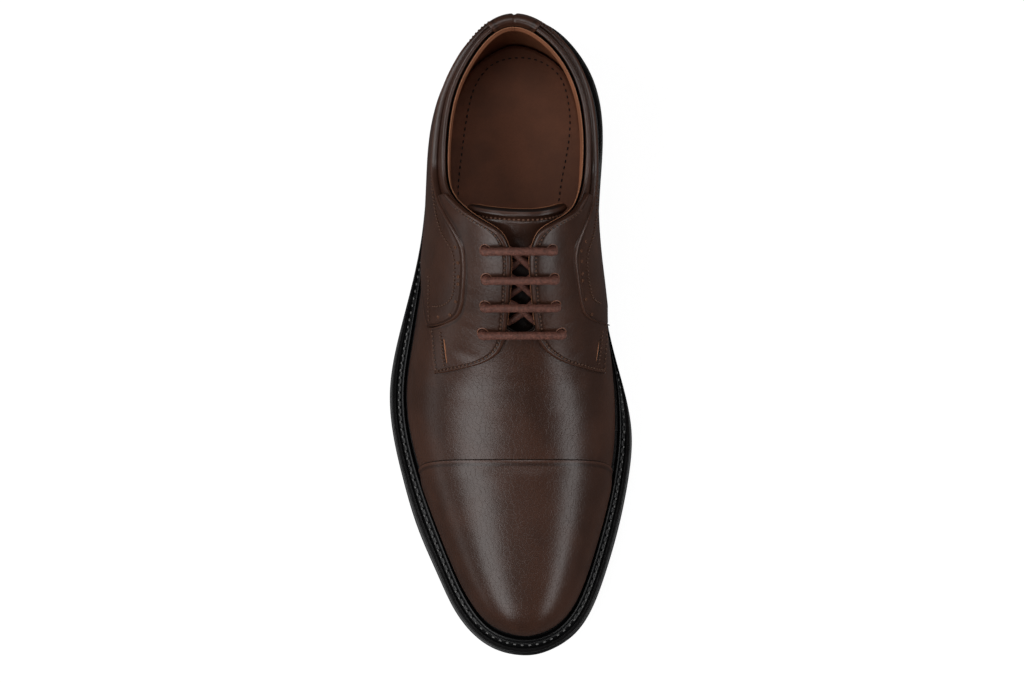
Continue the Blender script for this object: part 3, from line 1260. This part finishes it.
class SHOE_OT_insole(bpy.types.Operator):
    """Makes the insole with its leather sock, slightly dished."""

    bl_idname = "shoe.insole"
    bl_label = "Insole"

    def execute(self, context):
        turns = np.linspace(0, math.pi, 150)
        share = (1 - np.cos(np.linspace(0, math.pi, 60))) / 2
        play = -WALL - SEAT - 0.2 - HEEL_COUNTER * heel_pad(share_of(turns))
        sides = {s: skin(share_of(turns), np.full(turns.shape, float(s)), play) for s in (-1, 1)}
        flat = sides[-1][:, None] * (1 - share[None, :, None]) + sides[1][:, None] * share[None, :, None]
        from_wall = insole_margin(flat, sides)
        ground = underside(flat[..., 1])
        rounded = 0.8 * (1 - ease(from_wall, 0, 1.4))
        high = STACK + INSOLE_PROUD - rounded + 0.4 * (1 - ease(from_wall, 1, 12))
        top = flat.copy()
        top[..., 2] = ground + high
        bottom = flat.copy()
        bottom[..., 2] = ground + OUTSOLE + MIDSOLE + GAP + 1.5 * SEAT
        edges = [np.stack([top[:, k], bottom[:, k]], 1) for k in (0, -1)]
        patches = [(top, 0, None), (bottom, 0, None), *((edge, 0, None) for edge in edges)]
        make_piece("insole_sock", patches, [material("insole leather")], ["insole"])
        return {"FINISHED"}


def insole_margin(points, sides):
    """Distance of each point from the nearest of the two side curves, in plan."""
    best = np.full(points.shape[:2], 1e9)
    for curve in sides.values():
        gap = points[:, :, None, :2] - curve[None, None, ::2, :2]
        best = np.minimum(best, np.linalg.norm(gap, axis=-1).min(-1))
    return best


def along_path(points, pitch):
    """Resamples a path at even steps, giving points and unit directions."""
    length = run_length(points, 0)
    count = max(int(length[-1] / pitch), 2)
    marks = (np.arange(count) + 0.5) * length[-1] / count
    placed = np.stack([np.interp(marks, length, points[:, k]) for k in range(3)], -1)
    ahead = np.stack([np.interp(marks + 0.2, length, points[:, k]) for k in range(3)], -1)
    behind = np.stack([np.interp(marks - 0.2, length, points[:, k]) for k in range(3)], -1)
    return placed, unit(ahead - behind), marks


def stitch_patches(points, normals, pitch, radius, fill=0.66, sink=0.55):
    """Each stitch is a short tube with pinched ends that dips at both ends: centre = place + along u
    half + normal radius (1 - 1.6 u^4 - sink), ring radius = radius (1 - u^6)^(1/2)."""
    placed, along, marks = along_path(points, pitch)
    length = run_length(points, 0)
    normal = unit(np.stack([np.interp(marks, length, normals[:, k]) for k in range(3)], -1))
    across = unit(np.cross(along, normal))
    normal = np.cross(across, along)
    u = np.linspace(-1, 1, 7)[None, :, None, None]
    phi = np.linspace(0, 2 * math.pi, 9)[None, None, :, None]
    half = pitch * fill / 2
    centre = placed[:, None, None] + along[:, None, None] * u * half
    centre = centre + normal[:, None, None] * radius * (1 - 1.6 * u**4 - sink)
    size = radius * np.sqrt(np.maximum(1 - u**6, 0))
    ring = across[:, None, None] * np.cos(phi) + normal[:, None, None] * np.sin(phi)
    tubes = centre + ring * size
    return [(tube, 0, None) for tube in tubes]


def skin_path(rows, side, height, count=200):
    """A path over the leather through places of a table, with the skin's normals."""
    order = np.arange(len(rows["at"]))
    places = np.linspace(0, order[-1], count)
    at = natural_spline(order, rows["at"])(places)
    up = natural_spline(order, rows["up"])(places)
    lift = height + roll(at, side, up)
    point, normal = skin_frame(at, girth_of(side, up))
    return point + normal * lift[:, None], normal


def inset_path(at, up, side, inset, height, rows=slice(None), from_seam=False):
    """The path on a panel's face that keeps a distance from its edge."""
    base = skin(at, girth_of(side, up), roll(at, side, up) + LIFT)
    length = run_length(base, 1)
    reach = length if from_seam else length[:, -1:] - length
    column = np.abs(reach - inset).argmin(1)
    index = np.arange(len(at))
    step = np.where(reach[index, column] > inset, 1, -1) * (-1 if from_seam else 1)
    other = np.clip(column + step, 0, at.shape[1] - 1)
    gap = reach[index, other] - reach[index, column]
    share = np.where(np.abs(gap) > 1e-6, (inset - reach[index, column]) / np.where(gap == 0, 1, gap), 0)
    share = np.clip(share, 0, 1)
    place = at[index, column] * (1 - share) + at[index, other] * share
    turn = up[index, column] * (1 - share) + up[index, other] * share
    wide = length[:, -1] > inset * 1.5
    keep = np.zeros(len(at), bool)
    keep[rows] = True
    keep &= wide
    place, turn = place[keep], turn[keep]
    point, normal = skin_frame(place, girth_of(side, turn))
    return point + normal * (roll(place, side, turn) + height)[:, None], normal


def dot_patches(points, normals, radius, thick):
    """Punched dots: a rim of tan leather round a dark hole, as a ring turned round the normal."""
    across = unit(np.cross(normals, np.array([0.3, 1.0, 0.2])))
    other = np.cross(normals, across)
    phi = np.linspace(0, 2 * math.pi, 17)
    profile = np.array([(0.05, -0.6), (0.45, -0.5), (0.55, 0.25), (0.78, 0.42), (1.0, 0.15), (1.1, -0.6)])
    r = profile[:, 0][None, :, None, None] * radius
    h = profile[:, 1][None, :, None, None] * thick
    ring = across[:, None, None] * np.cos(phi)[None, None, :, None]
    ring = ring + other[:, None, None] * np.sin(phi)[None, None, :, None]
    grid = points[:, None, None] + ring * r + normals[:, None, None] * h
    return [(rim[1:], 0, None) for rim in grid], [(hole[:3], 0, None) for hole in grid]


# How far the facing's two rows of stitches lie from its edges, and the thicker threads
EDGE_INSET = 1.9
SEAM_INSET = 1.7
SOCK_PITCH = 3.0
SOCK_GAUGE = 0.30
WELT_GAUGE = 0.42


class SHOE_OT_seams(bpy.types.Operator):
    """Sews the upper and the welt, and punches the dots and the eyelets' rims."""

    bl_idname = "shoe.seams"
    bl_label = "Seams and dots"

    def execute(self, context):
        sizes = context.scene.derby_sizes
        pitch = sizes.stitch_pitch / MM
        gauge = sizes.stitch_gauge / MM
        dark = [material("dark thread")]
        for side in (-1, 1):
            name = SIDE_NAMES[side]
            at, up = panel_places(FACING[side], 300, 90, 1.4)
            top = LIFT + FACING_LEATHER - 0.22
            path = inset_path(at, up, side, EDGE_INSET, top, slice(16, 292))
            patches = stitch_patches(*path, pitch, gauge)
            tab_from = int(300 * (13.4 if side < 0 else 14.6) / len(FACING[side]["edge_at"]))
            path = inset_path(at, up, side, SEAM_INSET, top, slice(tab_from, 290), True)
            patches += stitch_patches(*path, pitch, gauge)
            path = skin_path(TAB_INNER_STITCHES[side], side, LIFT + FACING_LEATHER + 0.05)
            patches += stitch_patches(*path, pitch * 0.8, gauge)
            make_piece("facing_stitches_" + name, patches, dark)
            slit = skin_path(TAB_SLITS[side], side, LIFT + FACING_LEATHER + 0.02, 40)[0]
            swell = np.sin(np.linspace(0, math.pi, 40)) ** 0.5
            beside = slit + np.array([side * -0.50, 0.0, 0.45])
            lips = [tube_patch(slit, 0.42 * swell, 10), tube_patch(beside, 0.36 * swell, 10)]
            lips = [(grid, number, seam) for number, (grid, _, seam) in enumerate(lips)]
            finishes = [material("folded edge"), material("cut edge")]
            make_piece("tab_slit_" + name, lips, finishes)
            high = LIFT + QUARTER_LEATHER - 0.05
            fine = (pitch * 0.9, gauge * 0.85)
            patches = stitch_patches(*skin_path(QUARTER_STITCHES[side], side, high, 400), *fine)
            if side in TAB_STITCHES:
                patches += stitch_patches(*skin_path(TAB_STITCHES[side], side, high), *fine)
            make_piece("quarter_stitches_" + name, patches, dark)
            rows = PINHOLES[side]
            point, normal = skin_frame(rows["at"], girth_of(side, rows["up"]))
            point = point + normal * (LIFT + QUARTER_LEATHER)
            rims, holes = dot_patches(point, normal, sizes.pinhole / MM / 2, 0.3)
            make_piece("pinhole_rims_" + name, rims, [material("pinhole")])
            make_piece("pinholes_" + name, holes, dark)
            self.eyelet_rims(side)
        self.tongue_and_insole(pitch, gauge)
        self.welt(sizes.welt_pitch / MM)
        return {"FINISHED"}

    def eyelet_rims(self, side):
        """A thin raised rim round each punched hole."""
        rows = EYELETS[side]
        point, normal = skin_frame(rows["at"], girth_of(side, rows["up"]))
        point = point + normal * (LIFT + FACING_LEATHER)
        across = unit(np.cross(normal, np.array([0.0, 1.0, 0.0])))
        other = np.cross(normal, across)
        phi = np.linspace(0, 2 * math.pi, 49)[None, None, :, None]
        psi = np.linspace(0, 2 * math.pi, 13)[None, :, None, None]
        radius = EYELET_RADIUS + 0.30 + 0.28 * np.cos(psi)
        ring = across[:, None, None] * np.cos(phi) + other[:, None, None] * np.sin(phi)
        grid = point[:, None, None] + ring * radius + normal[:, None, None] * (0.22 * np.sin(psi) - 0.02)
        patches = [(rim, 0, None) for rim in grid]
        make_piece("eyelet_rims_" + SIDE_NAMES[side], patches, [material("worn leather")])

    def tongue_and_insole(self, pitch, gauge):
        """The row under the tongue's rolled edge, and the row round the sock."""
        across = np.linspace(-0.93, 0.93, 200)
        low, high = girth_of(-1, TONGUE["lateral"][0]), girth_of(1, TONGUE["medial"][0])
        girth = low + (high - low) * (across + 1) / 2
        at = TONGUE["at"][0] + TONGUE_SHIFT + TONGUE_ROW + TONGUE_ROW_DIP * (1 - across**2)
        point, normal = skin_frame(at, girth)
        point = point + normal * (-TONGUE_DROP - 0.28)
        patches = stitch_patches(point, normal, pitch, gauge)
        make_piece("tongue_stitches", patches, [material("thread on tongue")])
        order = np.arange(len(SOCK_STITCHES["x"]))
        places = np.linspace(0, order[-1], 400)
        x, y = (natural_spline(order, SOCK_STITCHES[k])(places) for k in ("x", "y"))
        path = np.stack([x, y, underside(y) + STACK + INSOLE_PROUD + 0.25], -1)
        upward = np.tile([0.0, 0.0, 1.0], (len(path), 1))
        patches = stitch_patches(path, upward, SOCK_PITCH, SOCK_GAUGE, 0.6)
        make_piece("insole_stitches", patches, [material("folded edge")])

    def welt(self, pitch):
        """Grey stitches lying in the welt's channel, where the margin is wide enough for it."""
        turns = np.linspace(float(turn_of(0.30)), math.pi, 900)
        patches = []
        for side in (-1, 1):
            start = turns if side < 0 else turns[turns > float(turn_of(0.56))]
            path = sole_edge(start, side, STITCH_CHANNEL)
            path[:, 2] = underside(path[:, 1]) + OUTSOLE + MIDSOLE + GAP + SEAT + CHANNEL_FLOOR * WELT + 0.3
            up = np.tile([0.0, 0.0, 1.0], (len(path), 1))
            patches += stitch_patches(path, up, pitch, WELT_GAUGE, 0.45, 0.35)
        make_piece("welt_stitches", patches, [material("welt thread")])


def tube_patch(points, radius, sides=20):
    """A tube along a path: its ring is turned as little as possible from one point to the next, and the
    two ends are closed by rings that shrink to a point."""
    along = unit(np.gradient(points, axis=0))
    across = np.zeros_like(points)
    across[0] = unit(np.cross(along[0], [0.1, 0.2, 1.0]))
    for k in range(1, len(points)):
        turned = across[k - 1] - along[k] * np.dot(across[k - 1], along[k])
        across[k] = turned / np.linalg.norm(turned)
    other = np.cross(along, across)
    phi = np.linspace(0, 2 * math.pi, sides + 1)[None, :, None]
    radius = np.broadcast_to(radius, len(points)).copy()
    radius[[0, -1]] = 1e-4
    ring = across[:, None] * np.cos(phi) + other[:, None] * np.sin(phi)
    grid = points[:, None] + ring * radius[:, None, None]
    length = run_length(points, 0)[:, None] + 0 * phi[..., 0]
    seam = np.stack([length, np.tile(phi[..., 0], (len(points), 1))], -1)
    return grid, 0, seam


def smooth_path(points, step=0.6):
    """A natural spline through points, with the chord length as its parameter."""
    length = run_length(points, 0)
    count = int(length[-1] / step)
    return natural_spline(length, points)(np.linspace(0, length[-1], count))


class SHOE_OT_laces(bpy.types.Operator):
    """Laces the shoe: straight bars over the facings, crossing runs under them."""

    bl_idname = "shoe.laces"
    bl_label = "Laces"

    def execute(self, context):
        patches = []
        eyelets = {side: [(rows["at"][k], girth_of(side, rows["up"][k])) for k in range(4)]
                   for side, rows in EYELETS.items()}
        share = np.linspace(0, 1, 9)[1:-1]
        ends = np.array([-LACE_UNDER, -0.45 * LACE_UNDER, 0.40 * LACE_OVER, 0.86 * LACE_OVER])
        for k in range(4):
            left, right = eyelets[-1][k], eyelets[1][k]
            at = left[0] + (right[0] - left[0]) * share
            girth = left[1] + (right[1] - left[1]) * share
            over = np.full(len(share), LACE_OVER + 0.15) - 0.25 * np.sin(math.pi * share)
            middle = skin(at, girth, over)
            start = skin(np.full(4, left[0]), np.full(4, left[1]), ends)
            finish = skin(np.full(4, right[0]), np.full(4, right[1]), ends)[::-1]
            path = smooth_path(np.concatenate([start, middle, finish]))
            place = np.linspace(0, 1, len(path))
            swell = 1 + 0.10 * np.exp(-(((np.minimum(place, 1 - place) - 0.16) / 0.05) ** 2))
            wobble = 1 + 0.02 * np.sin(place * 37 + k) + 0.015 * np.sin(place * 83 + 2 * k)
            patches.append(tube_patch(path, LACE_RADIUS * swell * wobble))
        for k in range(3):
            patches.append(self.under(eyelets[-1][k + 1], eyelets[1][k], 1.5))
            patches.append(self.under(eyelets[1][k + 1], eyelets[-1][k], -0.6))
        finishes = [material("waxed cord")]
        make_piece("lace_cord", patches, finishes, ["laces"])
        return {"FINISHED"}

    def under(self, first, second, raise_by):
        """A run under the facings from one eyelet to the next on the other side."""
        share = np.linspace(0, 1, 13)
        at = first[0] + (second[0] - first[0]) * (0.35 * share + 0.65 * ease(share, 0.22, 0.78))
        girth = first[1] + (second[1] - first[1]) * share
        path = smooth_path(skin(at, girth, -LACE_UNDER + raise_by * np.sin(math.pi * share) ** 2))
        return tube_patch(path, np.full(len(path), LACE_RADIUS * 0.97))


# Camera and floor, in metres: where the photograph was taken from, what it looks at and its focal
# length in pixels
CAMERA_HEIGHT = 1.2
CAMERA_OVER = (0.025, -0.045)
CAMERA_AIM = (0.0003, -0.002, 0.012)
PIXELS_PER_TURN = 2499.0
IMAGE_WIDTH = 1024
SENSOR = 36.0


class SHOE_OT_stage(bpy.types.Operator):
    """Sets the floor, the two long soft boxes and the camera above the shoe."""

    bl_idname = "shoe.stage"
    bl_label = "Stage"

    def execute(self, context):
        scene = context.scene
        self.camera(scene)
        self.floor()
        self.box("left_box", (-0.62, -0.18, 0.75), (1.46, 0.50), 7.2)
        self.box("right_box", (0.80, -0.13, 0.60), (1.46, 0.36), 4.5)
        self.box("low_box", (-1.00, -0.05, 0.10), (1.4, 0.22), 0.9)
        self.box("top_box", (0.0, 0.35, 1.50), (0.7, 0.5), 4.0)
        world = bpy.data.worlds.new("studio")
        scene.world = world
        world.use_nodes = True
        world.node_tree.nodes["Background"].inputs["Color"].default_value = (1, 1, 1, 1)
        world.node_tree.nodes["Background"].inputs["Strength"].default_value = 0.05
        scene.view_settings.view_transform = "Standard"
        return {"FINISHED"}

    def camera(self, scene):
        """Looks down from the photograph's place, turned onto the shoe's middle."""
        lens = bpy.data.cameras.new("camera")
        lens.sensor_width = SENSOR
        lens.lens = SENSOR * PIXELS_PER_TURN / IMAGE_WIDTH
        camera = bpy.data.objects.new("camera", lens)
        scene.collection.objects.link(camera)
        camera.location = (*CAMERA_OVER, CAMERA_HEIGHT)
        back = (camera.location - Vector(CAMERA_AIM)).normalized()
        right = Vector((0, 1, 0)).cross(back).normalized()
        turned = Matrix((right, back.cross(right), back)).transposed()
        camera.rotation_euler = turned.to_euler()
        scene.camera = camera

    def floor(self):
        """A pale floor that gives off a little light of its own."""
        bpy.ops.mesh.primitive_plane_add(size=8, location=(0, 0, 0))
        floor = bpy.context.object
        floor.name = "floor"
        made = Finish("floor", Roughness=0.9, Specular_IOR_Level=0.0)
        made.shader.inputs["Base Color"].default_value = (0.16, 0.16, 0.16, 1)
        made.shader.inputs["Emission Color"].default_value = (1, 1, 1, 1)
        made.shader.inputs["Emission Strength"].default_value = 0.93
        floor.data.materials.append(made.material)
        floor.visible_glossy = False
        floor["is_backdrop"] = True

    def box(self, name, place, size, power):
        """A long soft box aimed at the shoe."""
        light = bpy.data.lights.new(name, "AREA")
        light.shape = "RECTANGLE"
        light.size, light.size_y = size
        light.energy = power
        lamp = bpy.data.objects.new(name, light)
        bpy.context.scene.collection.objects.link(lamp)
        lamp.location = place
        lamp.rotation_euler = (Vector((0, 0, 0.03)) - Vector(place)).to_track_quat("-Z", "Y").to_euler()


PIECE_OPERATORS = (SHOE_OT_finishes, SHOE_OT_sole, SHOE_OT_insole, SHOE_OT_upper, SHOE_OT_tongue,
                   SHOE_OT_toe_cap, SHOE_OT_facings, SHOE_OT_quarters, SHOE_OT_heel_tab, SHOE_OT_laces,
                   SHOE_OT_seams, SHOE_OT_stage)


class SHOE_PT_panel(bpy.types.Panel):
    """Lists the shoe's sizes, colours and pieces."""

    bl_idname = "SHOE_PT_panel"
    bl_label = "Derby shoe"
    bl_space_type = "VIEW_3D"
    bl_region_type = "UI"
    bl_category = "Derby"

    def draw(self, context):
        for group in (context.scene.derby_sizes, context.scene.derby_colours):
            for label in group.__annotations__:
                self.layout.prop(group, label)
        for operator in PIECE_OPERATORS:
            self.layout.operator(operator.bl_idname)


CLASSES = (DerbySizes, DerbyColours, *PIECE_OPERATORS, SHOE_PT_panel)


def register():
    for made in CLASSES:
        bpy.utils.register_class(made)
    bpy.types.Scene.derby_sizes = bpy.props.PointerProperty(type=DerbySizes)
    bpy.types.Scene.derby_colours = bpy.props.PointerProperty(type=DerbyColours)


def unregister():
    del bpy.types.Scene.derby_colours
    del bpy.types.Scene.derby_sizes
    for made in reversed(CLASSES):
        bpy.utils.unregister_class(made)


def main():
    """Makes every piece in order."""
    register()
    for operator in PIECE_OPERATORS:
        group, name = operator.bl_idname.split(".")
        getattr(getattr(bpy.ops, group), name)()
    boxes = {"cad": CAD_BOX, "visual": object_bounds()}
    {name: [list(corner) for corner in box] for name, box in boxes.items()}


if __name__ == "__main__":
    main()
